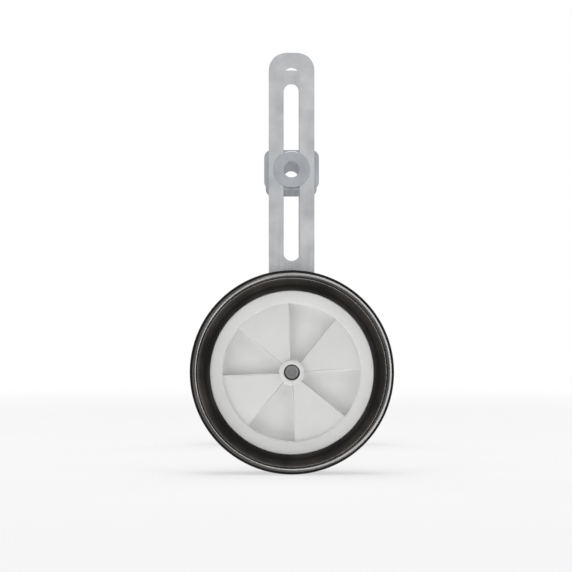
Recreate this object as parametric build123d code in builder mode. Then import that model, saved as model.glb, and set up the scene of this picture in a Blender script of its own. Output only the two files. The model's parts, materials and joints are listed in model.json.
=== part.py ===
from build123d import *
import os

# Pair of training wheels for a child's bicycle, as they sit on its rear axle.
# Millimetres. The origin is the middle of the bicycle's rear axle, which lies along Y.
# +Z is up and +X is forward. Both sides use the same pieces, made outwards from the middle.

# Bicycle axle and the fittings on it
dropout_half_width = 60.0       # middle of the axle to the outer face of the frame's dropout
axle_hole_radius = 5.2          # clears a 10 mm axle
keyed_length = 36.0
keyed_height = 26.0
keyed_thickness = 3.0
keyed_corner = 5.0
lug_height = 3.5                # each of the two lugs that stand in the arm's slot
lug_gap = 1.3                   # axle hole to a lug
lug_depth = 3.0
tongue_length = 8.0             # tongue that stands in the dropout behind the axle
tongue_width = 9.4
tongue_depth = 3.5
tongue_gap = 2.0                # axle hole to the tongue
clamp_washer_radius = 12.0
clamp_washer_thickness = 2.0

# Arm
arm_width = 30.0
arm_thickness = 4.0
arm_joggle = 47.0               # outward step between the upper and the lower run
arm_bend_radius = 8.0           # inside of each bend
arm_corner = 12.0
arm_edge = 0.5                  # rounding along the straight edges of the strip
slot_width = 10.6
slot_margin = 10.0              # metal above the slot
bend_margin = 14.0              # slot's lower end to the corner of the upper bend
bend_run = 8.0                  # corner of the lower bend to the hub washer
foot_margin = 15.0              # wheel axle to the arm's lower end
wheel_drop = 130.0              # bicycle axle to wheel axle as set for a 16 inch wheel
slide_up = 44.0                 # from there to the setting for a 12 inch wheel
slide_down = 51.0               # from there to the setting for a 20 inch wheel

# Wheel
tyre_radius = 63.5
tyre_width = 36.0
tyre_depth = 12.5               # tread to the lip of the hub
crest_depth = 9.1               # tread to the crest of the rounded sidewall
wall_round = 10.6               # radius of the sidewall's section
shoulder_inset = 4.5            # tread to the groove along the shoulder
groove_width = 0.9
groove_depth = 0.9
facet_width = 2.4               # bright band outside the groove, along the radius
facet_drop = 1.68               # and along the axle
flange_height = 4.7             # lip of the hub above the bed of its channel
flange_thickness = 3.6
flange_setback = 2.0            # tyre's side to the lip of the hub
lip_round = 0.8
rim_wall = 3.3                  # bed of the channel to the vaned disc inside it
dish_depth = 1.6                # rim band slopes in by this much
panel_step = 1.2                # rim band down to the panels
step_run = 0.3
pocket_depth = 3.4              # at the rim
pocket_root = 2.6               # depth of a pocket beside the boss
pocket_draft = 6.0              # degrees
pocket_boss_gap = 0.6
vane_edge = 0.5                 # chamfer along the edges of the panels
vane_edge_slope = 45.0          # degrees
face_wall = 2.6
rib_wall = 2.2
rib_depth = 14.0
vane_count = 4
panel_start = 2.5               # degrees from +X, seen from outside
panel_sweep = 48.0              # degrees
boss_radius = 7.5
boss_rise = 1.6                 # above the panels
boss_chamfer = 0.5
tube_radius = 8.5
hub_standoff = 4.0              # tyre's inner side to the back end of the hub's tube

# Wheel axle
mouth_radius = 5.0              # open bore in the boss
head_recess = 7.5               # boss face to the screw head
head_radius = 4.6
head_height = 5.5
head_chamfer = 0.5
socket_radius = 2.89            # corner radius of a 5 mm hexagon
socket_depth = 3.0
screw_radius = 3.0
thread_proud = 2.4              # screw end beyond the nut
screw_chamfer = 0.7
sleeve_radius = 4.0
hub_washer_radius = 9.0
hub_washer_thickness = 1.6
nut_washer_radius = 6.0
nut_washer_thickness = 1.6
nut_radius = 5.77               # corner radius of a 10 mm hexagon
nut_hex_height = 4.4
nut_collar_height = 1.6
nut_collar_radius = 4.4
nut_chamfer = 0.4
ring_edge = 0.3                 # chamfer round the sleeve and the washers

# Clearances
running_clearance = 0.05        # hub on its sleeve, in radius
end_float = 0.35                # hub between the screw head and its washer
screw_clearance = 0.15          # screw in the sleeve, washers and arm, in radius
sleeve_clearance = 0.2          # hub washer round the sleeve, in radius
nut_clearance = 0.05            # screw in its nut, in radius
tyre_clearance = 0.1            # tyre's foot in the hub's channel
tyre_lip_gap = 0.3              # dark line between the hub's lip and the tyre
lug_clearance = 0.2             # lugs in the slot, each side
lug_end_gap = 0.6               # lug to the round of the slot at the end of its travel

# Stations along the axle, measured outwards from the middle
arm_in = dropout_half_width + keyed_thickness
arm_out = arm_in + arm_thickness
foot_in = arm_in + arm_joggle
foot_out = foot_in + arm_thickness
hub_back = foot_out + hub_washer_thickness + end_float
tyre_in = hub_back + hub_standoff
wheel_mid = tyre_in + tyre_width / 2
tyre_out = tyre_in + tyre_width
lip_out = tyre_out - flange_setback
lip_in = tyre_in + flange_setback
bed_out = lip_out - flange_thickness
bed_in = lip_in + flange_thickness
band_face = lip_out - dish_depth
panel_face = band_face - panel_step
boss_face = panel_face + boss_rise
pocket_floor = panel_face - pocket_depth
face_back = pocket_floor - face_wall
head_top = boss_face - head_recess
head_seat = head_top - head_height
hub_seat = head_seat - end_float
nut_face = foot_in - nut_washer_thickness
nut_end = nut_face - nut_hex_height - nut_collar_height
screw_end = nut_end - thread_proud

# Radii that follow from the fits
hub_flange_radius = tyre_radius - tyre_depth
bed_radius = hub_flange_radius - flange_height
disc_radius = bed_radius - rim_wall
crest_radius = tyre_radius - crest_depth
groove_radius = tyre_radius - shoulder_inset
groove_near = groove_radius - groove_width / 2
groove_far = groove_radius + groove_width / 2
facet_end = groove_far + facet_width
facet_length = (facet_width**2 + facet_drop**2) ** 0.5
shoulder_round = (tyre_radius - facet_end) / (1 - facet_drop / facet_length)
hub_bore_radius = sleeve_radius + running_clearance
screw_hole_radius = screw_radius + screw_clearance
nut_bore_radius = screw_radius + nut_clearance
pocket_inner_radius = boss_radius + pocket_boss_gap

# Heights on the arm
lug_start = axle_hole_radius + lug_gap
lug_reach = lug_start + lug_height
slot_high = slide_down + lug_reach + lug_end_gap
slot_low = -(slide_up + lug_reach + lug_end_gap)
arm_top = slot_high + slot_width / 2 + slot_margin
bend_high = slot_low - slot_width / 2 - bend_margin
bend_low = -wheel_drop + hub_washer_radius + bend_run
arm_bottom = -wheel_drop - foot_margin

os.makedirs("parts", exist_ok=True)


def save(piece, label):
    """Label a finished piece and write it to its own file."""
    piece.label = label
    export_step(piece, f"parts/{label}.step")


def station(side, reach, height=0.0):
    """Plane across the axle, facing outwards, at a distance from the middle."""
    return Plane(origin=(0, side * reach, height), x_dir=(1, 0, 0), z_dir=(0, side, 0))


def turning(side, height):
    """Plane for a turned profile: first coordinate is the radius, second the station."""
    return Plane(origin=(0, 0, height), x_dir=(1, 0, 0), z_dir=(0, 0, side))


def spindle(side, height):
    """Axis along which a turned profile is revolved."""
    return Axis((0, 0, height), (0, side, 0))


def ring(side, height, inner, outer, start, end):
    """Plain ring between two stations, with its outer edges broken."""
    with BuildPart() as turned:
        with BuildSketch(turning(side, height)):
            with BuildLine():
                Polyline(
                    (inner, start),
                    (outer - ring_edge, start),
                    (outer, start + ring_edge),
                    (outer, end - ring_edge),
                    (outer - ring_edge, end),
                    (inner, end),
                    close=True,
                )
            make_face()
        revolve(axis=spindle(side, height))
    return turned.part


def sector(start, sweep, inner, outer):
    """Flat sector of a ring about the origin."""
    with BuildSketch() as flat:
        with BuildLine():
            near = CenterArc((0, 0), inner, start, sweep)
            far = CenterArc((0, 0), outer, start, sweep)
            Line(near @ 0, far @ 0)
            Line(near @ 1, far @ 1)
        make_face()
    return flat.sketch


def pockets(side):
    """Drafted spaces between the panels, deeper towards the rim, with a chamfer round their mouths."""
    pitch = 360 / vane_count
    mouth = sector(panel_start + panel_sweep, pitch - panel_sweep, pocket_inner_radius, disc_radius)
    with BuildPart() as space:
        with BuildSketch(station(side, panel_face - vane_edge, -wheel_drop)):
            with PolarLocations(0, vane_count):
                add(offset(mouth, amount=-vane_edge, kind=Kind.INTERSECTION, mode=Mode.PRIVATE))
        extrude(amount=vane_edge - pocket_depth, taper=pocket_draft)
        with BuildSketch(turning(side, -wheel_drop)):
            with BuildLine():
                Polyline(
                    (pocket_inner_radius, panel_face),
                    (pocket_inner_radius, panel_face - pocket_root),
                    (disc_radius, pocket_floor),
                    (disc_radius, panel_face),
                    close=True,
                )
            make_face()
        revolve(axis=spindle(side, -wheel_drop), mode=Mode.INTERSECT)
        with BuildSketch(station(side, panel_face, -wheel_drop)):
            with PolarLocations(0, vane_count):
                add(mouth)
        extrude(amount=-vane_edge, taper=vane_edge_slope)
    return space.part


def hub(side):
    """White moulded hub: tyre channel, dished rim band, vaned disc, boss and axle tube."""
    relief = offset(
        sector(panel_start, panel_sweep, tube_radius, disc_radius),
        amount=-face_wall,
        kind=Kind.INTERSECTION,
    )
    with BuildPart() as moulding:
        with BuildSketch(turning(side, -wheel_drop)) as profile:
            with BuildLine():
                Polyline(
                    (hub_bore_radius, hub_back),
                    (hub_bore_radius, hub_seat),
                    (mouth_radius, hub_seat),
                    (mouth_radius, boss_face - boss_chamfer),
                    (mouth_radius + boss_chamfer, boss_face),
                    (boss_radius - boss_chamfer, boss_face),
                    (boss_radius, boss_face - boss_chamfer),
                    (boss_radius, panel_face),
                    (disc_radius, panel_face),
                    (disc_radius + step_run, band_face),
                    (hub_flange_radius, lip_out),
                    (hub_flange_radius, bed_out),
                    (bed_radius, bed_out),
                    (bed_radius, bed_in),
                    (hub_flange_radius, bed_in),
                    (hub_flange_radius, lip_in),
                    (disc_radius, lip_in),
                    (disc_radius, face_back),
                    (tube_radius, face_back),
                    (tube_radius, hub_back),
                    close=True,
                )
            make_face()
            fillet(profile.vertices().group_by(Axis.X)[-1], radius=lip_round)
        revolve(axis=spindle(side, -wheel_drop))
        add(pockets(side), mode=Mode.SUBTRACT)
        # The panels are hollow behind, so that the wall stays even
        with BuildSketch(station(side, face_back, -wheel_drop)):
            with PolarLocations(0, vane_count):
                add(relief)
        extrude(amount=pocket_depth, mode=Mode.SUBTRACT)
        # Stiffening ribs behind the edges of the panels
        with BuildSketch(station(side, face_back, -wheel_drop)):
            for edge_angle in (panel_start, panel_start + panel_sweep):
                with PolarLocations((tube_radius + disc_radius) / 2, vane_count, start_angle=edge_angle):
                    Rectangle(disc_radius - tube_radius + rib_wall, rib_wall)
        extrude(amount=-rib_depth)
    return moulding.part


def sidewall(radius):
    """Distance of the rounded sidewall from the tyre's middle, at a radius."""
    return tyre_width / 2 - wall_round + (wall_round**2 - (radius - crest_radius) ** 2) ** 0.5


def tyre(side):
    """Solid rubber tyre, its foot in the hub's channel and a groove along each shoulder."""
    lip_radius = hub_flange_radius + tyre_lip_gap
    foot_radius = bed_radius + tyre_clearance
    foot_half = (bed_out - bed_in) / 2 - tyre_clearance
    facet_half = sidewall(groove_far) - facet_drop
    tread_half = facet_half - shoulder_round * facet_width / facet_length
    with BuildPart() as rubber:
        with BuildSketch(turning(side, -wheel_drop)):
            with BuildLine():
                Line((foot_radius, wheel_mid - foot_half), (foot_radius, wheel_mid + foot_half))
                Line((tyre_radius, wheel_mid - tread_half), (tyre_radius, wheel_mid + tread_half))
                for way in (-1, 1):
                    Polyline(
                        (foot_radius, wheel_mid + way * foot_half),
                        (lip_radius, wheel_mid + way * foot_half),
                        (lip_radius, wheel_mid + way * sidewall(lip_radius)),
                    )
                    ThreePointArc(
                        (lip_radius, wheel_mid + way * sidewall(lip_radius)),
                        (crest_radius, wheel_mid + way * tyre_width / 2),
                        (groove_near, wheel_mid + way * sidewall(groove_near)),
                    )
                    shoulder = Polyline(
                        (groove_near, wheel_mid + way * sidewall(groove_near)),
                        (groove_radius, wheel_mid + way * (sidewall(groove_near) - groove_depth)),
                        (groove_far, wheel_mid + way * sidewall(groove_far)),
                        (facet_end, wheel_mid + way * facet_half),
                    )
                    TangentArc((tyre_radius, wheel_mid + way * tread_half), shoulder @ 1, tangent=(0, way))
            make_face()
        revolve(axis=spindle(side, -wheel_drop))
    return rubber.part


def axle_screw(side):
    """Socket screw that clamps the sleeve to the arm; its head lies deep in the hub's bore."""
    with BuildPart() as screw:
        with BuildSketch(turning(side, -wheel_drop)):
            with BuildLine():
                Polyline(
                    (0, screw_end),
                    (screw_radius - screw_chamfer, screw_end),
                    (screw_radius, screw_end + screw_chamfer),
                    (screw_radius, head_seat),
                    (head_radius, head_seat),
                    (head_radius, head_top - head_chamfer),
                    (head_radius - head_chamfer, head_top),
                    (0, head_top),
                    close=True,
                )
            make_face()
        revolve(axis=spindle(side, -wheel_drop))
        with BuildSketch(station(side, head_top, -wheel_drop)):
            RegularPolygon(socket_radius, 6)
        extrude(amount=-socket_depth, mode=Mode.SUBTRACT)
    return screw.part


def axle_nut(side):
    """Hexagon lock nut with a round collar, on the inner side of the arm."""
    hex_end = nut_face - nut_hex_height
    with BuildPart() as nut:
        with BuildSketch(station(side, nut_face, -wheel_drop)):
            RegularPolygon(nut_radius, 6)
        extrude(amount=-nut_hex_height)
        chamfer(nut.faces().sort_by(Axis.Y)[-1 if side > 0 else 0].edges(), length=nut_chamfer)
        with BuildSketch(station(side, hex_end, -wheel_drop)):
            Circle(nut_collar_radius)
        extrude(amount=-nut_collar_height)
        collar_end = nut.faces().sort_by(Axis.Y)[0 if side > 0 else -1]
        chamfer(collar_end.edges(), length=nut_chamfer)
        with BuildSketch(station(side, nut_face, -wheel_drop)):
            Circle(nut_bore_radius)
        extrude(amount=-(nut_hex_height + nut_collar_height), mode=Mode.SUBTRACT)
    return nut.part


def arm(side):
    """Plated steel strip, stepped outwards below its long adjusting slot."""
    upper = (arm_in + arm_out) / 2
    lower = (foot_in + foot_out) / 2
    edge_plane = Plane(origin=(0, 0, 0), x_dir=(0, side, 0), z_dir=(side, 0, 0))
    with BuildPart() as strip:
        with BuildSketch(edge_plane):
            with BuildLine():
                FilletPolyline(
                    (upper, arm_top),
                    (upper, bend_high),
                    (lower, bend_low),
                    (lower, arm_bottom),
                    radius=arm_bend_radius + arm_thickness / 2,
                )
            trace(line_width=arm_thickness)
        extrude(amount=arm_width / 2, both=True)
        ends = strip.edges().filter_by(Axis.Y).group_by(Axis.Z)
        fillet(ends[0] + ends[-1], radius=arm_corner)
        flanks = strip.faces().filter_by(Axis.X)
        fillet(flanks.edges().filter_by(Axis.Z), radius=arm_edge)
        with BuildSketch(station(side, arm_out, (slot_high + slot_low) / 2)):
            SlotOverall(slot_high - slot_low + slot_width, slot_width, rotation=90)
        extrude(amount=-arm_thickness, mode=Mode.SUBTRACT)
        with Locations(station(side, foot_out, -wheel_drop)):
            Hole(radius=screw_hole_radius)
    return strip.part


def keyed_washer(side):
    """Locating washer: lugs stand in the arm's slot and a tongue stands in the dropout."""
    with BuildPart() as washer:
        with BuildSketch(station(side, dropout_half_width)):
            RectangleRounded(keyed_length, keyed_height, keyed_corner)
        extrude(amount=keyed_thickness)
        with BuildSketch(station(side, arm_in)):
            with Locations((0, lug_start + lug_height / 2), (0, -lug_start - lug_height / 2)):
                Rectangle(slot_width - 2 * lug_clearance, lug_height)
        extrude(amount=lug_depth)
        with BuildSketch(station(side, dropout_half_width)):
            with Locations((-axle_hole_radius - tongue_gap - tongue_length / 2, 0)):
                Rectangle(tongue_length, tongue_width)
        extrude(amount=-tongue_depth)
        with Locations(station(side, arm_in)):
            Hole(radius=axle_hole_radius)
    return washer.part


for name, side in (("right", -1), ("left", 1)):
    save(hub(side), f"{name}_hub")
    save(tyre(side), f"{name}_tyre")
    save(axle_screw(side), f"{name}_axle_screw")
    save(axle_nut(side), f"{name}_axle_nut")
    save(arm(side), f"{name}_arm")
    save(keyed_washer(side), f"{name}_keyed_washer")
    sleeve = ring(side, -wheel_drop, screw_hole_radius, sleeve_radius, foot_out, head_seat)
    save(sleeve, f"{name}_axle_sleeve")
    hub_washer = ring(
        side,
        -wheel_drop,
        sleeve_radius + sleeve_clearance,
        hub_washer_radius,
        foot_out,
        foot_out + hub_washer_thickness,
    )
    save(hub_washer, f"{name}_hub_washer")
    nut_washer = ring(
        side,
        -wheel_drop,
        screw_hole_radius,
        nut_washer_radius,
        nut_face,
        foot_in,
    )
    save(nut_washer, f"{name}_nut_washer")
    clamp_washer = ring(
        side,
        0,
        axle_hole_radius,
        clamp_washer_radius,
        arm_out,
        arm_out + clamp_washer_thickness,
    )
    save(clamp_washer, f"{name}_clamp_washer")
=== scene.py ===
"""Looks of a pair of bicycle training wheels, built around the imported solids.

Lengths are in metres and angles in radians. A station is a distance along Y from the bicycle's middle.
"""

import json
import logging
import math
from collections.abc import Callable, Sequence
from dataclasses import dataclass, field
from enum import Enum

import bmesh
import bpy
from mathutils import Matrix, Vector

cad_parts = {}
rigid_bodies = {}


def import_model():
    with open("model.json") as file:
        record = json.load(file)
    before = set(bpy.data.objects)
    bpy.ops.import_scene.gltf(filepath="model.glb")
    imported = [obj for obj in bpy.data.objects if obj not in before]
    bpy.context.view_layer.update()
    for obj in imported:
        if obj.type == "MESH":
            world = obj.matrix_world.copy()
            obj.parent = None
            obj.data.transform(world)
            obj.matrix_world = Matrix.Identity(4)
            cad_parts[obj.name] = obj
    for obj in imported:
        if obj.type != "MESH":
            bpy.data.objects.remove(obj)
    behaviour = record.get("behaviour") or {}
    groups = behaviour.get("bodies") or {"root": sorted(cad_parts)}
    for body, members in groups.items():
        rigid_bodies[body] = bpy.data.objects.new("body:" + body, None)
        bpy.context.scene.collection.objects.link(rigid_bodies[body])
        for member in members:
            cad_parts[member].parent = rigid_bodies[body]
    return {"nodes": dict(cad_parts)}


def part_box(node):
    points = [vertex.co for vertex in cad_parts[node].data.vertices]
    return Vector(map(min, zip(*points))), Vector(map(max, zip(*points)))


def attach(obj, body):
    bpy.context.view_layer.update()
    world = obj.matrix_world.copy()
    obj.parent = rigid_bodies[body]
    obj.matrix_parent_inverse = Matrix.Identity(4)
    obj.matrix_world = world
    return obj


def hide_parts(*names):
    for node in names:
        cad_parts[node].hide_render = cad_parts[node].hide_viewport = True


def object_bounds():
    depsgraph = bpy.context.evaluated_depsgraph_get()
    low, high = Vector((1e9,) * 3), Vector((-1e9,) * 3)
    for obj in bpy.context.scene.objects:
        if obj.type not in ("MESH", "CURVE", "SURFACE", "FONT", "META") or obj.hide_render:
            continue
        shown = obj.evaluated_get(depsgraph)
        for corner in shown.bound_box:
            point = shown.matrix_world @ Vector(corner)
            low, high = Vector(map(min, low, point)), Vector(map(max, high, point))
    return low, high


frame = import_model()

LOG = logging.getLogger("training_wheels")
CAD_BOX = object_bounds()
FULL_TURN = 2.0 * math.pi
Point = tuple[float, float]
Triple = tuple[float, float, float]

# Distances under which two points count as one, and a point as level with a face.
MERGE = 1e-6
LEVEL = 1e-5
# Side of the small plane that is merged to the first point of a line.
SEED_SIZE = 0.001
# Steps of a profile's rounded corner and of an eased edge.
CORNER_STEPS = 5
EDGE_STEPS = 3
# Values between which a noise texture mostly lies.
NOISE_SPAN: Point = (0.3, 0.7)
ORIGIN: Triple = (0.0, 0.0, 0.0)
UNIT: Triple = (1.0, 1.0, 1.0)
WHITE = (1.0, 1.0, 1.0, 1.0)


def spaced(start: float, end: float, steps: int) -> list[float]:
    """Evenly spaced values from a start to an end."""
    return [start + (end - start) * step / steps for step in range(steps + 1)]


class Side(Enum):
    """The bicycle's two sides."""

    RIGHT = "right"
    LEFT = "left"

    @property
    def outward(self) -> float:
        """Direction along Y that leads away from the bicycle."""
        return -1.0 if self is Side.RIGHT else 1.0

    def node(self, piece: str) -> str:
        """Name of this side's CAD node for a piece."""
        return f"{self.value}_{piece}"

    def stations(self, piece: str) -> Point:
        """Find how far a piece lies from the bicycle's middle.

        Args:
            piece: Name of the piece without its side.

        Returns:
            Its nearest and its farthest distance along Y.
        """
        low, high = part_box(self.node(piece))
        ends = sorted((abs(low.y), abs(high.y)))
        return ends[0], ends[1]


class Part(Enum):
    """Parts of a mesh that are selected by their place."""

    VERTEX = "VERT"
    FACE = "FACE"


class Graph:
    """A material's node tree, with its surface shader ready to be wired."""

    def __init__(self, name: str) -> None:
        """Start an empty material.

        Args:
            name: Name of the material.
        """
        self.material = bpy.data.materials.new(name)
        self.material.use_nodes = True
        self.tree = self.material.node_tree
        self.tree.nodes.clear()
        self.output = self.tree.nodes.new("ShaderNodeOutputMaterial")
        self.surface = self.tree.nodes.new("ShaderNodeBsdfPrincipled")
        self.wire(self.surface, "BSDF", self.output, "Surface")

    def add(self, kind: str, **settings: object) -> bpy.types.Node:
        """Add a node and set its properties.

        Args:
            kind: Node type without its ShaderNode prefix.
            **settings: Node properties by name.

        Returns:
            The new node.
        """
        node = self.tree.nodes.new(f"ShaderNode{kind}")
        for key, value in settings.items():
            setattr(node, key, value)
        return node

    def wire(
        self,
        source: bpy.types.Node,
        out: str | int,
        target: bpy.types.Node,
        into: str | int,
    ) -> None:
        """Join one node's output to another's input."""
        self.tree.links.new(source.outputs[out], target.inputs[into])

    def place(self, centre: Sequence[float], scale: Sequence[float]) -> bpy.types.Node:
        """Object coordinates, moved to a centre and scaled.

        Args:
            centre: Point that becomes the pattern's origin.
            scale: Scale along each axis.

        Returns:
            The mapping node.
        """
        coords = self.add("TexCoord")
        mapping = self.add("Mapping", vector_type="POINT")
        mapping.inputs["Scale"].default_value = scale
        mapping.inputs["Location"].default_value = [-c * s for c, s in zip(centre, scale)]
        self.wire(coords, "Object", mapping, "Vector")
        return mapping

    def noise(self, source: bpy.types.Node, scale: float, detail: float) -> bpy.types.Node:
        """Noise texture on a mapping.

        Args:
            source: Node that gives the coordinates.
            scale: Cells per unit of the mapping.
            detail: Octaves of detail.

        Returns:
            The noise node.
        """
        node = self.add("TexNoise")
        node.inputs["Scale"].default_value = scale
        node.inputs["Detail"].default_value = detail
        self.wire(source, "Vector", node, "Vector")
        return node

    def remap(self, source: bpy.types.Node, out: str, span: Point, goal: Point) -> bpy.types.Node:
        """Bring a value from one range to another.

        Args:
            source: Node that gives the value.
            out: Its output.
            span: Range that the value has.
            goal: Range that it gets.

        Returns:
            The remapping node.
        """
        node = self.add("MapRange")
        node.inputs["From Min"].default_value, node.inputs["From Max"].default_value = span
        node.inputs["To Min"].default_value, node.inputs["To Max"].default_value = goal
        self.wire(source, out, node, "Value")
        return node

    def roughen(self, source: bpy.types.Node, rough: Point) -> None:
        """Vary the surface's roughness between two values by a texture."""
        self.wire(self.remap(source, "Fac", NOISE_SPAN, rough), "Result", self.surface, "Roughness")

    def calculate(self, operation: str, *values: bpy.types.NodeSocket | float) -> bpy.types.Node:
        """Add a calculation.

        Args:
            operation: Name of the calculation.
            *values: Its inputs in order, sockets or numbers.

        Returns:
            The calculating node.
        """
        node = self.add("Math", operation=operation)
        for place, value in enumerate(values):
            if isinstance(value, float):
                node.inputs[place].default_value = value
            else:
                self.tree.links.new(value, node.inputs[place])
        return node

    def tint(
        self,
        source: bpy.types.Node,
        out: str,
        dark: Triple,
        light: Triple,
        span: Point = NOISE_SPAN,
    ) -> None:
        """Colour the surface between two tones by a texture.

        Args:
            source: Texture node.
            out: Its output.
            dark: Tone at the low end.
            light: Tone at the high end.
            span: The texture's values at the two ends.
        """
        ramp = self.add("ValToRGB")
        ramp.color_ramp.elements[0].position = span[0]
        ramp.color_ramp.elements[1].position = span[1]
        ramp.color_ramp.elements[0].color = (*dark, 1.0)
        ramp.color_ramp.elements[1].color = (*light, 1.0)
        self.wire(source, out, ramp, "Fac")
        self.wire(ramp, "Color", self.surface, "Base Color")

    def bump(self, source: bpy.types.Node, strength: float, depth: float) -> None:
        """Give the surface a texture's relief, on top of any wired before.

        Args:
            source: Texture node.
            strength: Share of the relief that shows.
            depth: Height of the relief in metres.
        """
        node = self.add("Bump")
        node.inputs["Strength"].default_value = strength
        node.inputs["Distance"].default_value = depth
        self.wire(source, "Fac", node, "Height")
        normal = self.surface.inputs["Normal"]
        if normal.is_linked:
            self.tree.links.new(normal.links[0].from_socket, node.inputs["Normal"])
        self.wire(node, "Normal", self.surface, "Normal")


@dataclass(frozen=True)
class MouldedPlastic:
    """White polypropylene with a fine moulded grain and faint flow clouds."""

    name: str = "white_moulded_plastic"
    dark: Triple = (0.735, 0.735, 0.722)
    light: Triple = (0.785, 0.785, 0.776)
    rough: Point = (0.46, 0.36)
    shine: float = 0.4
    grain: float = 2600.0
    grain_relief: Point = (0.12, 0.00008)
    cloud: float = 34.0
    cloud_relief: Point = (0.05, 0.0006)

    def make(self) -> bpy.types.Material:
        """Build the material.

        Returns:
            The material.
        """
        graph = Graph(self.name)
        where = graph.place(ORIGIN, UNIT)
        cloud = graph.noise(where, self.cloud, detail=3.0)
        grain = graph.noise(where, self.grain, detail=2.0)
        graph.tint(cloud, "Fac", self.dark, self.light)
        graph.roughen(cloud, self.rough)
        graph.bump(grain, *self.grain_relief)
        graph.bump(cloud, *self.cloud_relief)
        graph.surface.inputs["Specular IOR Level"].default_value = self.shine
        return graph.material


@dataclass(frozen=True)
class SolidRubber:
    """Black tyre rubber with turned streaks about the wheel's axle, and a painted sheen that lightens it
    towards the shoulder.
    """

    name: str
    centre: Triple
    rough: Point
    shine: float
    dark: Triple = (0.004, 0.0034, 0.003)
    light: Triple = (0.06, 0.052, 0.045)
    tone_span: Point = (0.4, 0.68)
    relief: float = 0.12
    streaks: float = 420.0
    streak_detail: float = 4.0
    streak_height: float = 0.0003
    grain: float = 1900.0
    grain_height: float = 0.0001
    grain_share: float = 0.4
    smudge: float = 38.0
    smudge_share: float = 1.2
    # Radii over which a painted sheen lightens the rubber towards the shoulder, and that sheen's share of the
    # tone.
    edge: Point = (0.0548, 0.0588)
    sheen_share: float = 0.4

    def make(self) -> bpy.types.Material:
        """Build the material.

        Returns:
            The material.
        """
        graph = Graph(self.name)
        radius = graph.add("VectorMath", operation="LENGTH")
        graph.wire(graph.place(self.centre, (1, 0, 1)), "Vector", radius, 0)
        turned = graph.add("TexNoise", noise_dimensions="1D")
        turned.inputs["Scale"].default_value = self.streaks
        turned.inputs["Detail"].default_value = self.streak_detail
        graph.wire(radius, "Value", turned, "W")
        streak = turned.outputs["Fac"]
        where = graph.place(ORIGIN, UNIT)
        grain = graph.noise(where, self.grain, detail=3.0)
        smudge = graph.noise(where, self.smudge, detail=2.0).outputs["Fac"]
        # Painted sheen: the tone grows lighter from the inner to the outer of these radii.
        edge = graph.remap(radius, "Value", self.edge, (0.0, self.sheen_share)).outputs["Result"]
        # Streaks, smudges and the painted sheen together set the tone.
        rubbed = graph.calculate("MULTIPLY_ADD", smudge, self.smudge_share, streak)
        total = graph.calculate("ADD", rubbed.outputs["Value"], edge)
        most = 1.0 + self.smudge_share + self.sheen_share
        smudge_and_sheen = graph.calculate("DIVIDE", total.outputs["Value"], most)
        graph.tint(smudge_and_sheen, "Value", self.dark, self.light, self.tone_span)
        graph.roughen(turned, self.rough)
        graph.bump(turned, self.relief, self.streak_height)
        graph.bump(grain, self.grain_share * self.relief, self.grain_height)
        graph.surface.inputs["Specular IOR Level"].default_value = self.shine
        return graph.material


@dataclass(frozen=True)
class PlatedSteel:
    """Zinc plate over drawn steel, with marks along the length."""

    name: str
    dark: Triple
    light: Triple
    rough: Point
    stretch: Triple = (420.0, 14.0, 14.0)
    relief: Point = (0.08, 0.0002)
    cloud: float = 70.0

    def make(self) -> bpy.types.Material:
        """Build the material.

        Returns:
            The material.
        """
        graph = Graph(self.name)
        drawn = graph.noise(graph.place(ORIGIN, self.stretch), scale=1.0, detail=4.0)
        cloud = graph.noise(graph.place(ORIGIN, UNIT), self.cloud, detail=4.0)
        graph.tint(cloud, "Fac", self.dark, self.light)
        graph.roughen(drawn, self.rough)
        graph.bump(drawn, *self.relief)
        graph.surface.inputs["Metallic"].default_value = 1.0
        return graph.material


@dataclass
class Finishes:
    """Every finish that both sides share, each made once."""

    plastic: bpy.types.Material = field(init=False)
    zinc: bpy.types.Material = field(init=False)
    tube: bpy.types.Material = field(init=False)
    screw: bpy.types.Material = field(init=False)
    washer: bpy.types.Material = field(init=False)

    def __post_init__(self) -> None:
        """Make the shared materials."""
        self.plastic = MouldedPlastic().make()
        self.zinc = PlatedSteel(
            "zinc_plate", dark=(0.42, 0.43, 0.445), light=(0.56, 0.57, 0.58), rough=(0.2, 0.36)
        ).make()
        self.tube = PlatedSteel(
            "drawn_tube", dark=(0.48, 0.48, 0.48), light=(0.60, 0.60, 0.60), rough=(0.25, 0.42)
        ).make()
        self.screw = PlatedSteel(
            "dull_zinc", dark=(0.24, 0.24, 0.245), light=(0.33, 0.33, 0.335), rough=(0.32, 0.48)
        ).make()
        self.washer = PlatedSteel(
            "blue_zinc", dark=(0.33, 0.345, 0.365), light=(0.44, 0.455, 0.475), rough=(0.22, 0.38)
        ).make()


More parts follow.
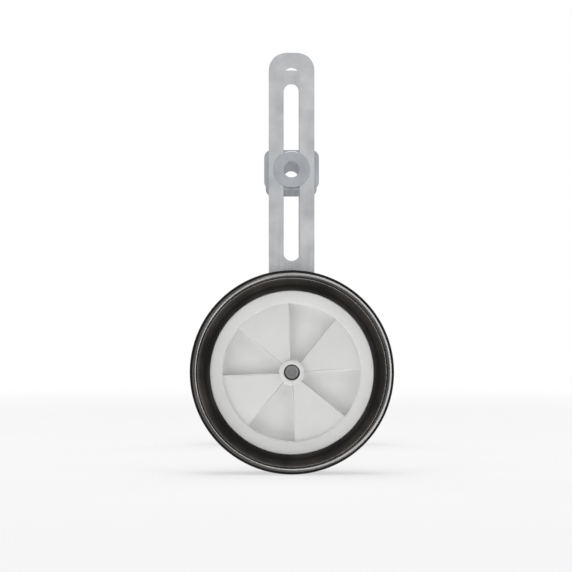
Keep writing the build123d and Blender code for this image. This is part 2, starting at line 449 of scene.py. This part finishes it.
class Bench:
    """Modelling steps done with operators, as by hand."""

    @staticmethod
    def clear() -> None:
        """Leave edit mode and deselect everything."""
        if bpy.context.object is not None and bpy.context.object.mode != "OBJECT":
            bpy.ops.object.mode_set(mode="OBJECT")
        bpy.ops.object.select_all(action="DESELECT")

    @staticmethod
    def hold(piece: bpy.types.Object) -> None:
        """Make a piece the active object and the only one selected.

        Args:
            piece: The piece.
        """
        Bench.clear()
        piece.select_set(True)
        bpy.context.view_layer.objects.active = piece

    @staticmethod
    def pick(piece: bpy.types.Object, part: Part, test: Callable[[Vector], bool]) -> None:
        """Select the vertices or faces of the piece in edit mode whose place passes a test.

        Args:
            piece: Object in edit mode.
            part: Whether vertices or faces are selected.
            test: Says whether a vertex or a face's centre is wanted.
        """
        bpy.ops.mesh.select_mode(type=part.value)
        bpy.ops.mesh.select_all(action="DESELECT")
        shape = bmesh.from_edit_mesh(piece.data)
        for item in shape.verts if part is Part.VERTEX else shape.faces:
            place = item.co if part is Part.VERTEX else item.calc_center_median()
            if test(place):
                item.select_set(True)
        shape.select_flush_mode()
        bmesh.update_edit_mesh(piece.data)

    @staticmethod
    def ease(piece: bpy.types.Object, sharpness: float, offset: float) -> None:
        """Round the outer corners of a piece in edit mode.

        Args:
            piece: Object in edit mode.
            sharpness: Least turn of an edge that is rounded.
            offset: How far the rounding reaches from the edge.
        """
        bpy.ops.mesh.select_mode(type="EDGE")
        bpy.ops.mesh.select_all(action="DESELECT")
        shape = bmesh.from_edit_mesh(piece.data)
        for edge in shape.edges:
            if edge.is_convex and edge.calc_face_angle(0.0) > sharpness:
                edge.select_set(True)
        bmesh.update_edit_mesh(piece.data)
        bpy.ops.mesh.bevel(offset=offset, segments=EDGE_STEPS, affect="EDGES", clamp_overlap=False)

    @staticmethod
    def trace(name: str, path: Sequence[Vector]) -> bpy.types.Object:
        """Draw a line of edges by extruding one vertex along a path.

        Args:
            name: Name of the new object.
            path: Points in order; the line is closed where the last is the first.

        Returns:
            The new object, in edit mode.
        """
        Bench.clear()
        bpy.ops.mesh.primitive_plane_add(size=SEED_SIZE, location=ORIGIN)
        piece = bpy.context.object
        piece.name = name
        piece.data.name = name
        bpy.ops.object.mode_set(mode="EDIT")
        bpy.ops.mesh.select_mode(type="VERT")
        bpy.ops.mesh.select_all(action="SELECT")
        bpy.ops.mesh.merge(type="CENTER")
        bpy.ops.transform.translate(value=path[0])
        for start, end in zip(path, path[1:]):
            bpy.ops.mesh.extrude_region_move(TRANSFORM_OT_translate={"value": end - start})
        bpy.ops.mesh.select_all(action="SELECT")
        bpy.ops.mesh.remove_doubles(threshold=MERGE)
        return piece

    @staticmethod
    def mend() -> None:
        """Merge doubles and turn all faces outwards, in edit mode."""
        bpy.ops.mesh.select_all(action="SELECT")
        bpy.ops.mesh.remove_doubles(threshold=MERGE)
        bpy.ops.mesh.normals_make_consistent(inside=False)

    @staticmethod
    def unite(piece: bpy.types.Object, other: bpy.types.Object) -> None:
        """Make one shape of two by a boolean.

        Args:
            piece: Piece that takes up the other.
            other: Shape that is taken up and removed.
        """
        Bench.hold(piece)
        modifier = piece.modifiers.new("union", "BOOLEAN")
        modifier.object = other
        modifier.operation = "UNION"
        modifier.solver = "EXACT"
        bpy.ops.object.modifier_apply(modifier=modifier.name)
        bpy.data.objects.remove(other)

    @staticmethod
    def finish(piece: bpy.types.Object, material: bpy.types.Material, angle: float) -> None:
        """Shade a piece smooth up to an angle and give it its material.

        Args:
            piece: The piece.
            material: Its finish.
            angle: Sharpest turn that is shaded smooth.
        """
        Bench.hold(piece)
        bpy.ops.object.shade_smooth_by_angle(angle=angle)
        piece.data.materials.clear()
        piece.data.materials.append(material)


@dataclass
class Lathe:
    """Turns profiles of radius and station about one wheel axle."""

    side: Side
    height: float
    steps: int = 240
    start: float = 0.0

    def point(self, radius: float, angle: float, station: float) -> Vector:
        """Place of a point given about the axle, with the angle seen from outside."""
        out = self.side.outward
        return Vector((radius * math.cos(angle), out * station, self.height - out * radius * math.sin(angle)))

    def polar(self, place: Vector) -> Triple:
        """Radius, angle and station of a place."""
        rise = -self.side.outward * (place.z - self.height)
        return math.hypot(place.x, rise), math.atan2(rise, place.x), abs(place.y)

    def turn(self, name: str, profile: Sequence[Point], rounds: dict[Point, float]) -> bpy.types.Object:
        """Draw a profile, round some of its corners and spin it.

        Args:
            name: Name of the new object.
            profile: Points of radius and station.
            rounds: Rounding radius of each corner that has one.

        Returns:
            The turned piece, in edit mode.
        """
        piece = Bench.trace(name, [self.point(r, self.start, s) for r, s in profile])
        for corner, radius in rounds.items():
            spot = self.point(corner[0], self.start, corner[1])
            Bench.pick(piece, Part.VERTEX, lambda place: (place - spot).length < MERGE)
            bpy.ops.mesh.bevel(offset=radius, segments=CORNER_STEPS, affect="VERTICES", clamp_overlap=False)
        bpy.ops.mesh.select_all(action="SELECT")
        bpy.ops.mesh.spin(
            steps=self.steps,
            angle=FULL_TURN,
            center=(0, 0, self.height),
            axis=(0, self.side.outward, 0),
        )
        Bench.mend()
        return piece


@dataclass
class Hub:
    """White moulded hub: channel for the tyre, dished rim band, vaned disc, boss and tube."""

    side: Side
    tyre_depth: float = 0.0125
    flange_height: float = 0.0047
    flange_thickness: float = 0.0036
    flange_setback: float = 0.002
    lip_round: float = 0.0008
    rim_wall: float = 0.0033
    dish_depth: float = 0.0016
    panel_step: float = 0.0012
    step_run: float = 0.0003
    pocket_depth: float = 0.0034
    pocket_root: float = 0.0026
    pocket_run: float = 0.0003
    pocket_turn: float = math.radians(1.1)
    pocket_boss_gap: float = 0.0006
    face_wall: float = 0.0026
    panel_start: float = math.radians(2.5)
    panel_sweep: float = math.radians(48.0)
    vane_count: int = 4
    boss_radius: float = 0.0075
    boss_rise: float = 0.0016
    mouth_radius: float = 0.005
    head_depth: float = 0.01335
    bore_radius: float = 0.00405
    tube_radius: float = 0.0085
    hollow_margin: float = math.radians(6.0)
    rib_wall: float = 0.0022
    rib_depth: float = 0.014
    rib_overlap: float = 0.001
    edge_round: float = 0.00035
    edge_sharpness: float = math.radians(38.0)
    shade_angle: float = math.radians(32.0)
    angle_slack: float = 0.001
    radius_slack: float = 0.0001

    def __post_init__(self) -> None:
        """Work out the stations and radii from the frame."""
        low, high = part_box(self.side.node("tyre"))
        self.axle_height = (low.z + high.z) / 2
        tyre_in, tyre_out = self.side.stations("tyre")
        self.back = self.side.stations("hub")[0]
        self.flange = (high.z - low.z) / 2 - self.tyre_depth
        self.bed = self.flange - self.flange_height
        self.disc = self.bed - self.rim_wall
        self.lip_out = tyre_out - self.flange_setback
        self.lip_in = tyre_in + self.flange_setback
        self.band = self.lip_out - self.dish_depth
        self.panel = self.band - self.panel_step
        self.boss = self.panel + self.boss_rise
        self.pocket_floor = self.panel - self.pocket_depth
        self.face_back = self.pocket_floor - self.face_wall
        self.pocket_inner = self.boss_radius + self.pocket_boss_gap
        self.pitch = FULL_TURN / self.vane_count
        self.lathe = Lathe(self.side, self.axle_height, start=self.panel_start)

    def profile(self) -> list[Point]:
        """Closed half section of the moulding before its pockets are sunk.

        Returns:
            Points of radius and station, the last one the first again.
        """
        bed_out = self.lip_out - self.flange_thickness
        bed_in = self.lip_in + self.flange_thickness
        seat = self.boss - self.head_depth
        points = [
            (self.bore_radius, self.back),
            (self.bore_radius, seat),
            (self.mouth_radius, seat),
            (self.mouth_radius, self.boss),
            (self.boss_radius, self.boss),
            (self.boss_radius, self.panel),
            (self.pocket_inner, self.panel),
            (self.disc, self.panel),
            (self.disc + self.step_run, self.band),
            (self.flange, self.lip_out),
            (self.flange, bed_out),
            (self.bed, bed_out),
            (self.bed, bed_in),
            (self.flange, bed_in),
            (self.flange, self.lip_in),
            (self.disc, self.lip_in),
            (self.disc, self.face_back),
            (self.disc - self.face_wall, self.face_back),
            (self.tube_radius + self.face_wall, self.face_back),
            (self.tube_radius, self.face_back),
            (self.tube_radius, self.back),
        ]
        return [*points, points[0]]

    def vane_angle(self, place: Vector) -> float:
        """Angle of a place past the start of its panel."""
        return (self.lathe.polar(place)[1] - self.panel_start) % self.pitch

    def in_ring(self, place: Vector, inner: float, outer: float, station: float) -> bool:
        """Whether a place lies in a flat ring of the moulding."""
        radius, _, height = self.lathe.polar(place)
        return inner < radius < outer and abs(height - station) < LEVEL

    def on_floor(self, place: Vector) -> bool:
        """Whether a place lies on the pockets' floor as first sunk."""
        return abs(self.lathe.polar(place)[2] - self.pocket_floor) < LEVEL

    def at_edge(self, place: Vector, edge: float) -> bool:
        """Whether a place lies at an angle past the start of its panel, or a whole pitch from there."""
        past = (self.vane_angle(place) - edge + self.pitch / 2) % self.pitch - self.pitch / 2
        return abs(past) < self.angle_slack

    def sink_pockets(self, piece: bpy.types.Object) -> None:
        """Push the sectors between the panels in, lean their walls and slope their floors.

        Args:
            piece: The moulding, in edit mode.
        """
        Bench.pick(
            piece,
            Part.FACE,
            lambda p: self.in_ring(p, self.pocket_inner, self.disc, self.panel)
            and self.vane_angle(p) > self.panel_sweep,
        )
        drop = -self.side.outward * self.pocket_depth
        bpy.ops.mesh.extrude_region_move(TRANSFORM_OT_translate={"value": (0, drop, 0)})
        axle = (0, 0, self.axle_height)
        for edge, lean in ((self.panel_sweep, 1.0), (self.pitch, -1.0)):
            Bench.pick(piece, Part.VERTEX, lambda p: self.on_floor(p) and self.at_edge(p, edge))
            turn = lean * self.side.outward * self.pocket_turn
            bpy.ops.transform.rotate(value=turn, orient_axis="Y", center_override=axle)
        rim = self.disc - self.radius_slack
        Bench.pick(piece, Part.VERTEX, lambda p: self.on_floor(p) and self.lathe.polar(p)[0] > rim)
        shrink = 1.0 - self.pocket_run / self.disc
        bpy.ops.transform.resize(value=(shrink, 1.0, shrink), center_override=axle)
        root = self.tube_radius
        Bench.pick(piece, Part.VERTEX, lambda p: self.on_floor(p) and self.lathe.polar(p)[0] < root)
        lift = self.side.outward * (self.pocket_depth - self.pocket_root)
        bpy.ops.transform.translate(value=(0, lift, 0))

    def hollow_back(self, piece: bpy.types.Object) -> None:
        """Hollow the panels from behind, so that the wall stays even.

        Args:
            piece: The moulding, in edit mode.
        """
        inner = self.tube_radius + self.face_wall
        outer = self.disc - self.face_wall
        first = self.hollow_margin
        last = self.panel_sweep - self.hollow_margin
        Bench.pick(
            piece,
            Part.FACE,
            lambda p: self.in_ring(p, inner, outer, self.face_back) and first < self.vane_angle(p) < last,
        )
        rise = self.side.outward * self.pocket_depth
        bpy.ops.mesh.extrude_region_move(TRANSFORM_OT_translate={"value": (0, rise, 0)})

    def ribs(self) -> bpy.types.Object:
        """Stiffening ribs between the tube and the rim.

        Returns:
            All the ribs as one object.
        """
        Bench.clear()
        made = []
        reach = self.disc - self.tube_radius + self.rib_wall
        middle = (self.disc + self.tube_radius) / 2
        depth = self.rib_depth + self.rib_overlap
        station = self.face_back + self.rib_overlap - depth / 2
        for turn in range(self.vane_count):
            for edge in (0.0, self.panel_sweep):
                angle = self.panel_start + edge + turn * self.pitch
                spot = self.lathe.point(middle, angle, station)
                bpy.ops.mesh.primitive_cube_add(size=1.0, location=spot)
                rib = bpy.context.object
                rib.scale = (reach, depth, self.rib_wall)
                rib.rotation_euler = (0, self.side.outward * angle, 0)
                made.append(rib)
        for rib in made:
            rib.select_set(True)
        bpy.ops.object.join()
        bpy.ops.object.transform_apply(location=True, rotation=True, scale=True)
        return bpy.context.object

    def build(self, material: bpy.types.Material) -> bpy.types.Object:
        """Model the hub and put it in place of its CAD node.

        Args:
            material: White plastic.

        Returns:
            The hub.
        """
        lips = {
            (self.flange, self.lip_out): self.lip_round,
            (self.flange, self.lip_in): self.lip_round,
        }
        piece = self.lathe.turn(self.side.node("hub_moulding"), self.profile(), lips)
        self.sink_pockets(piece)
        self.hollow_back(piece)
        Bench.mend()
        bpy.ops.object.mode_set(mode="OBJECT")
        Bench.unite(piece, self.ribs())
        bpy.ops.object.mode_set(mode="EDIT")
        Bench.ease(piece, self.edge_sharpness, self.edge_round)
        Bench.mend()
        bpy.ops.object.mode_set(mode="OBJECT")
        Bench.finish(piece, material, self.shade_angle)
        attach(piece, self.side.node("wheel"))
        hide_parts(self.side.node("hub"))
        return piece


@dataclass
class Tyre:
    """Solid rubber tyre with rounded sidewalls and a groove and a facet along each shoulder."""

    side: Side
    tyre_depth: float = 0.0125
    lip_gap: float = 0.0003
    foot_depth: float = 0.0171
    foot_inset: float = 0.0057
    crest_depth: float = 0.0091
    wall_round: float = 0.0106
    wall_steps: int = 10
    groove_inset: float = 0.0045
    groove_width: float = 0.0009
    groove_depth: float = 0.0009
    facet_width: float = 0.0024
    facet_drop: float = 0.00168
    facet_bulge: float = 0.00009
    facet_steps: int = 4
    shoulder_steps: int = 14
    corner_round: float = 0.0003
    shade_angle: float = math.radians(40.0)
    shine_share: float = 0.7

    def __post_init__(self) -> None:
        """Work out the radii and stations from the frame."""
        low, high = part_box(self.side.node("tyre"))
        self.lathe = Lathe(self.side, (low.z + high.z) / 2)
        self.radius = (high.z - low.z) / 2
        inner, outer = self.side.stations("tyre")
        self.middle = (inner + outer) / 2
        self.half_width = (outer - inner) / 2
        self.lip = self.radius - self.tyre_depth + self.lip_gap
        self.groove = self.radius - self.groove_inset
        self.groove_start = self.groove - self.groove_width / 2
        self.groove_end = self.groove + self.groove_width / 2
        self.facet_lean = math.atan2(self.facet_drop, self.facet_width)

    def wall(self, radius: float) -> float:
        """Station of the rounded sidewall, from the tyre's middle, at a radius."""
        away = radius - self.radius + self.crest_depth
        return self.half_width - self.wall_round + math.sqrt(self.wall_round**2 - away**2)

    def facet(self, part: float) -> Point:
        """Point on the slightly rounded facet.

        Args:
            part: Share of the facet's width, from the groove.

        Returns:
            Its radius, and its station from the tyre's middle.
        """
        # A parabola, highest at the middle of the facet.
        bulge = 4 * self.facet_bulge * part * (1 - part)
        radius = self.groove_end + part * self.facet_width + bulge * math.sin(self.facet_lean)
        station = self.wall(self.groove_end) - part * self.facet_drop
        return radius, station + bulge * math.cos(self.facet_lean)

    def shoulder(self) -> list[Point]:
        """Arc from the facet's outer edge to the tread.

        Returns:
            Points of radius, and of station from the tyre's middle.
        """
        turn = (self.radius - self.groove_end - self.facet_width) / (1 - math.sin(self.facet_lean))
        tread = self.wall(self.groove_end) - self.facet_drop - turn * math.cos(self.facet_lean)
        angles = spaced(self.facet_lean, math.pi / 2, self.shoulder_steps)
        return [(self.radius - turn * (1 - math.sin(a)), tread + turn * math.cos(a)) for a in angles]

    def half(self) -> list[Point]:
        """Outer half of the section, from the foot to the tread.

        Returns:
            Points of radius, and of station from the tyre's middle.
        """
        foot = self.half_width - self.foot_inset
        return [
            (self.radius - self.foot_depth, foot),
            (self.lip, foot),
            *[(r, self.wall(r)) for r in spaced(self.lip, self.groove_start, self.wall_steps)],
            (self.groove, self.wall(self.groove_start) - self.groove_depth),
            *[self.facet(step / self.facet_steps) for step in range(self.facet_steps)],
            *self.shoulder(),
        ]

    def turn(self) -> bpy.types.Object:
        """Turn the section on the lathe, with its sharpest corners rounded.

        Returns:
            The tyre without a finish.
        """
        half = self.half()
        outer = [(r, self.middle + s) for r, s in half]
        inner = [(r, self.middle - s) for r, s in reversed(half)]
        wall_ends = [(r, self.wall(r)) for r in (self.lip, self.groove_start)]
        rounds = {}
        for r, s in (*wall_ends, self.facet(0.0)):
            for sign in (1.0, -1.0):
                rounds[(r, self.middle + sign * s)] = self.corner_round
        piece = self.lathe.turn(self.side.node("tyre_rubber"), [*outer, *inner, outer[0]], rounds)
        bpy.ops.object.mode_set(mode="OBJECT")
        return piece

    def coat(self, piece: bpy.types.Object, material: bpy.types.Material, span: Point) -> None:
        """Give the faces between two radii another finish.

        Args:
            piece: The tyre.
            material: The other finish.
            span: The two radii.
        """
        piece.data.materials.append(material)
        piece.active_material_index = len(piece.data.materials) - 1
        bpy.ops.object.mode_set(mode="EDIT")
        Bench.pick(piece, Part.FACE, lambda p: span[0] < self.lathe.polar(p)[0] < span[1])
        bpy.ops.object.material_slot_assign()
        bpy.ops.object.mode_set(mode="OBJECT")

    def dress(self, piece: bpy.types.Object) -> None:
        """Give the sidewalls satin rubber with a painted sheen, the facets shiny and the tread dull rubber.

        Args:
            piece: The tyre.
        """
        axle = tuple(self.lathe.point(0.0, 0.0, self.middle))
        # Only the satin sidewall keeps the painted sheen towards its shoulder.
        satin = SolidRubber(self.side.node("satin_rubber"), axle, rough=(0.3, 0.48), shine=0.12)
        shiny = SolidRubber(
            self.side.node("shiny_rubber"),
            axle,
            rough=(0.14, 0.2),
            shine=0.6,
            relief=0.02,
            sheen_share=0.0,
        )
        dull = SolidRubber(
            self.side.node("dull_rubber"),
            axle,
            rough=(0.5, 0.62),
            shine=0.03,
            light=(0.02, 0.0175, 0.0155),
            sheen_share=0.0,
        )
        shine_start = self.groove - self.shine_share * self.groove_width
        shine_end = self.groove_end + self.facet_width
        Bench.finish(piece, satin.make(), self.shade_angle)
        self.coat(piece, shiny.make(), (shine_start, shine_end))
        self.coat(piece, dull.make(), (shine_end, math.inf))

    def build(self) -> bpy.types.Object:
        """Model the tyre and put it in place of its CAD node.

        Returns:
            The tyre.
        """
        piece = self.turn()
        self.dress(piece)
        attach(piece, self.side.node("wheel"))
        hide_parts(self.side.node("tyre"))
        return piece


@dataclass
class Fittings:
    """The steel pieces of one side, which keep their CAD shapes."""

    side: Side

    def dress(self, finishes: Finishes) -> list[str]:
        """Give each carried-over node its finish.

        Args:
            finishes: The shared materials.

        Returns:
            Names of the nodes that were dressed.
        """
        coats = {
            "arm": finishes.zinc,
            "keyed_washer": finishes.washer,
            "clamp_washer": finishes.washer,
            "hub_washer": finishes.washer,
            "nut_washer": finishes.washer,
            "axle_nut": finishes.washer,
            "axle_sleeve": finishes.tube,
            "axle_screw": finishes.screw,
        }
        for piece, coat in coats.items():
            node = frame["nodes"][self.side.node(piece)]
            node.data.materials.clear()
            node.data.materials.append(coat)
        return [self.side.node(piece) for piece in coats]


@dataclass
class Studio:
    """Pale floor, white surround, soft lamps and a camera square to the near wheel."""

    frame_px: float = 572.0
    wheel_px: Point = (291.9, 372.7)
    tyre_px: float = 205.2
    distance: float = 1.5
    sensor: float = 36.0
    clip_start: float = 0.05
    soft_light: float = 0.272
    white_light: float = 1.0
    floor_size: float = 8.0
    floor_tone: float = 0.9
    floor_rough: float = 0.9
    floor_fade: Point = (0.3, 1.2)
    floor_glow: Point = (0.6, 1.0)
    table_spot: Triple = (-0.52, -0.38, -0.62)
    table_along: Triple = (0.8, 0.0, -0.6)
    table_size: Point = (0.35, 0.35)
    table_power: float = 1.95
    top_spot: Triple = (0.0, 0.0, 1.3)
    top_along: Triple = (1.0, 0.0, 0.0)
    top_size: Point = (1.0, 1.0)
    top_power: float = 8.0
    fill_count: int = 12
    fill_power: float = 0.6
    fill_lead: float = 0.34
    strip_reach: float = 0.9
    strip_width: float = 0.16
    strip_lean: float = math.radians(35.0)
    strip_sway: float = math.radians(6.0)
    strip_heading: float = math.radians(22.0)
    strip_tilt: float = 0.036
    strip_powers: tuple[float, ...] = (2.9, 2.6, 2.1, 1.6, 2.3, 3.4, 3.6, 2.7, 2.4, 2.5, 2.3, 2.4)

    def camera(self) -> None:
        """Place the camera so that the near wheel lands where the photograph has it."""
        low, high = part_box(Side.RIGHT.node("tyre"))
        metres_per_px = (high.x - low.x) / self.tyre_px
        middle = self.frame_px / 2
        across = (self.wheel_px[0] - middle) * metres_per_px
        down = (self.wheel_px[1] - middle) * metres_per_px
        spot = (-across, low.y - self.distance, (low.z + high.z) / 2 + down)
        Bench.clear()
        bpy.ops.object.camera_add(location=spot, rotation=(math.pi / 2, 0, 0))
        camera = bpy.context.object
        camera.name = "photo_camera"
        camera.data.sensor_width = self.sensor
        camera.data.lens = self.distance / metres_per_px * self.sensor / self.frame_px
        camera.data.clip_start = self.clip_start
        bpy.context.scene.camera = camera

    @staticmethod
    def lamp(
        name: str,
        spot: Vector,
        aim: Vector,
        along: Vector,
        size: Point,
        power: float,
    ) -> bpy.types.Object:
        """Add a soft rectangular lamp.

        Args:
            name: Name of the lamp.
            spot: Where it stands.
            aim: Where it points.
            along: Roughly the direction of its longer side.
            size: Length along that side, and width.
            power: Watts.

        Returns:
            The lamp.
        """
        Bench.clear()
        back = (spot - aim).normalized()
        side = (along - along.project(back)).normalized()
        turn = Matrix((side, back.cross(side), back)).transposed().to_euler()
        bpy.ops.object.light_add(type="AREA", location=spot, rotation=turn)
        lamp = bpy.context.object
        lamp.name = name
        lamp.data.shape = "RECTANGLE"
        lamp.data.size, lamp.data.size_y = size
        lamp.data.energy = power
        return lamp

    def strip_corner(self, angle: float) -> Vector:
        """Corner of the ring of strips, from the wheel's middle, that shines back off the tyre's facet.

        Args:
            angle: Angle round the axle.

        Returns:
            The corner.
        """
        lean = self.strip_lean + self.strip_sway * math.cos(angle - self.strip_heading)
        rise = math.pi / 2 - 2 * lean + self.strip_tilt * math.sin(angle)
        out = Vector((math.cos(angle), -math.tan(rise), math.sin(angle)))
        return out * self.strip_reach

    def shine(self, wheel: Vector) -> None:
        """Ring of strips in front of the near wheel that show in the tyres alone.

        Args:
            wheel: Middle of the near wheel.
        """
        tyres = bpy.data.collections.new("shining_tyres")
        for side in Side:
            tyres.objects.link(bpy.data.objects[side.node("tyre_rubber")])
        count = len(self.strip_powers)
        for strip, power in enumerate(self.strip_powers):
            start = self.strip_corner(FULL_TURN * (strip - 0.5) / count)
            end = self.strip_corner(FULL_TURN * (strip + 0.5) / count)
            along = end - start
            size = (along.length, self.strip_width)
            lamp = self.lamp(f"shine_{strip}", wheel + (start + end) / 2, wheel, along, size, power)
            lamp.visible_diffuse = False
            lamp.light_linking.receiver_collection = tyres

    def fill(self, side: Side, wheel: Vector) -> None:
        """Soft ring of lamps round the outside of a wheel, which shows in no reflection.

        Args:
            side: Side that the wheel is on.
            wheel: Middle of the wheel.
        """
        size = (2 * self.strip_reach * math.tan(math.pi / self.fill_count), self.strip_width)
        for place in range(self.fill_count):
            angle = FULL_TURN * place / self.fill_count
            radial = Vector((math.cos(angle), 0, math.sin(angle)))
            along = Vector((-math.sin(angle), 0, math.cos(angle)))
            spot = wheel + radial * self.strip_reach + Vector((0, side.outward * self.fill_lead, 0))
            lamp = self.lamp(side.node(f"fill_{place}"), spot, wheel, along, size, self.fill_power)
            lamp.visible_glossy = False

    def lamps(self) -> None:
        """Soft ring at each wheel, strips for the shine, a lamp from under the table and a top lamp."""
        for side in Side:
            low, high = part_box(side.node("tyre"))
            self.fill(side, (low + high) / 2)
        low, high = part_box(Side.RIGHT.node("tyre"))
        wheel = (low + high) / 2
        self.shine(wheel)
        spot = wheel + Vector(self.table_spot)
        along = Vector(self.table_along)
        table = self.lamp("table_lamp", spot, wheel, along, self.table_size, self.table_power)
        table.visible_glossy = False
        spot = Vector(self.top_spot)
        along = Vector(self.top_along)
        self.lamp("top_lamp", spot, Vector(ORIGIN), along, self.top_size, self.top_power)

    def surround(self) -> None:
        """White world for the camera and reflections, softer for lighting."""
        world = bpy.data.worlds.new("white_surround")
        bpy.context.scene.world = world
        world.use_nodes = True
        tree = world.node_tree
        tree.nodes.clear()
        out = tree.nodes.new("ShaderNodeOutputWorld")
        mix = tree.nodes.new("ShaderNodeMixShader")
        for place, strength in enumerate((self.soft_light, self.white_light), 1):
            light = tree.nodes.new("ShaderNodeBackground")
            light.inputs["Color"].default_value = WHITE
            light.inputs["Strength"].default_value = strength
            tree.links.new(light.outputs["Background"], mix.inputs[place])
        tree.links.new(self.seen(tree), mix.inputs["Fac"])
        tree.links.new(mix.outputs["Shader"], out.inputs["Surface"])

    @staticmethod
    def seen(tree: bpy.types.NodeTree) -> bpy.types.NodeSocket:
        """Factor that is one for camera, glossy and transmission rays.

        Args:
            tree: Node tree that gets the factor.

        Returns:
            The socket that gives it.
        """
        path = tree.nodes.new("ShaderNodeLightPath")
        factor = path.outputs["Is Camera Ray"]
        for ray in ("Is Glossy Ray", "Is Transmission Ray"):
            either = tree.nodes.new("ShaderNodeMath")
            either.operation = "MAXIMUM"
            tree.links.new(factor, either.inputs[0])
            tree.links.new(path.outputs[ray], either.inputs[1])
            factor = either.outputs["Value"]
        return factor

    def floor_paint(self) -> bpy.types.Material:
        """Pale floor finish that glows to white away from the middle.

        Returns:
            The material.
        """
        graph = Graph("pale_floor")
        graph.surface.inputs["Base Color"].default_value = (*[self.floor_tone] * 3, 1.0)
        graph.surface.inputs["Roughness"].default_value = self.floor_rough
        graph.surface.inputs["Specular IOR Level"].default_value = 0.0
        away = graph.add("VectorMath", operation="LENGTH")
        graph.wire(graph.place(ORIGIN, UNIT), "Vector", away, 0)
        fade = graph.remap(away, "Value", self.floor_fade, self.floor_glow)
        fade.interpolation_type = "SMOOTHSTEP"
        gate = graph.calculate("MULTIPLY", fade.outputs["Result"], self.seen(graph.tree))
        glow = graph.add("Emission")
        glow.inputs["Strength"].default_value = self.white_light
        mix = graph.add("MixShader")
        graph.wire(gate, "Value", mix, "Fac")
        graph.wire(graph.surface, "BSDF", mix, 1)
        graph.wire(glow, "Emission", mix, 2)
        graph.wire(mix, "Shader", graph.output, "Surface")
        return graph.material

    def floor(self) -> None:
        """Pale floor under the wheels."""
        Bench.clear()
        bpy.ops.mesh.primitive_plane_add(size=self.floor_size, location=(0, 0, CAD_BOX[0].z))
        floor = bpy.context.object
        floor.name = "studio_floor"
        floor.data.materials.append(self.floor_paint())
        floor.visible_shadow = False
        floor.visible_glossy = False

    def build(self) -> None:
        """Set up everything around the object."""
        bpy.context.scene.view_settings.view_transform = "Standard"
        self.surround()
        self.floor()
        self.lamps()
        self.camera()


def main() -> None:
    """Build every piece in order and report it."""
    logging.basicConfig(level=logging.INFO, format="%(name)s: %(message)s")
    finishes = Finishes()
    for side in Side:
        for piece in (Hub(side).build(finishes.plastic), Tyre(side).build()):
            LOG.info("%s: %d faces", piece.name, len(piece.data.polygons))
        for name in Fittings(side).dress(finishes):
            LOG.info("%s dressed", name)
    Studio().build()


if __name__ == "__main__":
    main()
